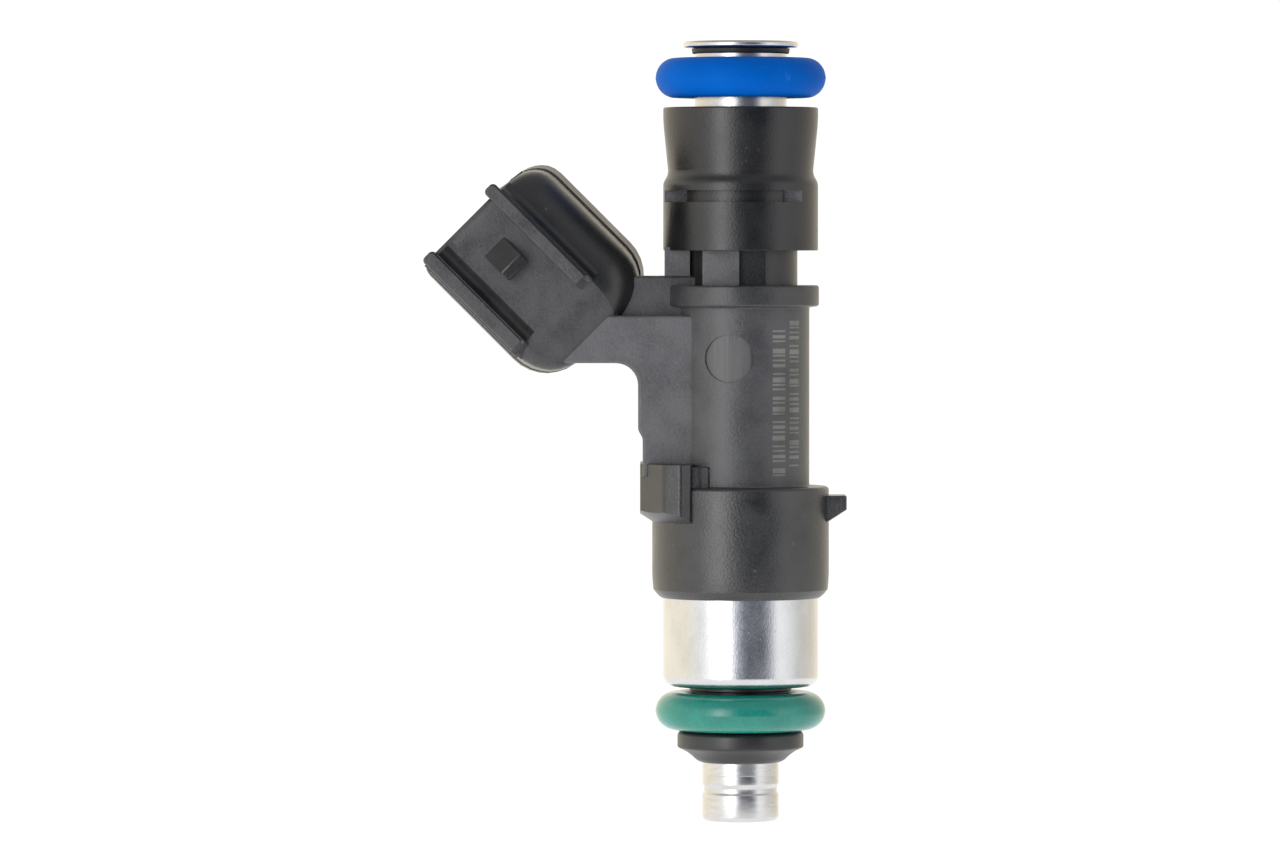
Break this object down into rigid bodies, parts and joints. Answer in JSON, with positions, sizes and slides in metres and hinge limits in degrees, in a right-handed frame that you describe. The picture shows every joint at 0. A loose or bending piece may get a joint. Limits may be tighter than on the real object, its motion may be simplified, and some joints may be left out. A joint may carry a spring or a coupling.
{
  "type": "fuel injector",
  "caption": "Long port fuel injector: steel tube and can in a black moulding with an angled electrical connector, a seal at each end and a spring-loaded valve inside.",
  "frame": {"origin": "centre of the spray plate's outer face, on the injector's axis", "axes": "+Z along the injector's axis towards the fuel inlet, -X towards the electrical connector, +Y across the connector's thickness"},
  "size_m": [0.036, 0.0152, 0.0666],
  "materials": {
    "steel": "satin",
    "bright_steel": "polished",
    "core_steel": "matte",
    "copper": "enamelled",
    "tinned": "satin",
    "nylon": "matte",
    "black_plastic": "satin",
    "weave": "woven",
    "blue_rubber": "smooth",
    "green_rubber": "smooth"
  },
  "bodies": {
    "injector": {"inlet_tube": "steel", "upper_support_ring": "black_plastic", "upper_o_ring": "blue_rubber", "filter_frame": "black_plastic", "filter_mesh": "weave", "adjusting_sleeve": "steel", "return_spring": "steel", "pole_core": "core_steel", "valve_sleeve": "steel", "housing_can": "bright_steel", "flux_washer": "core_steel", "coil_bobbin": "black_plastic", "coil_winding": "copper", "seal_carrier": "black_plastic", "lower_o_ring": "green_rubber", "valve_seat": "steel", "spray_plate": "steel", "terminal_a": "tinned", "terminal_b": "tinned", "overmould": "nylon"},
    "needle": {"armature": "core_steel", "needle_tube": "steel", "valve_ball": "bright_steel"}
  },
  "joints": [
    {"name": "needle_lift", "type": "slide", "parent": "injector", "child": "needle", "axis": [0, 0, 1], "range_m": [0, 0.0001], "stiffness_N_per_m": 2500, "springref_m": -0.0015, "deforming": ["return_spring"]}
  ]
}
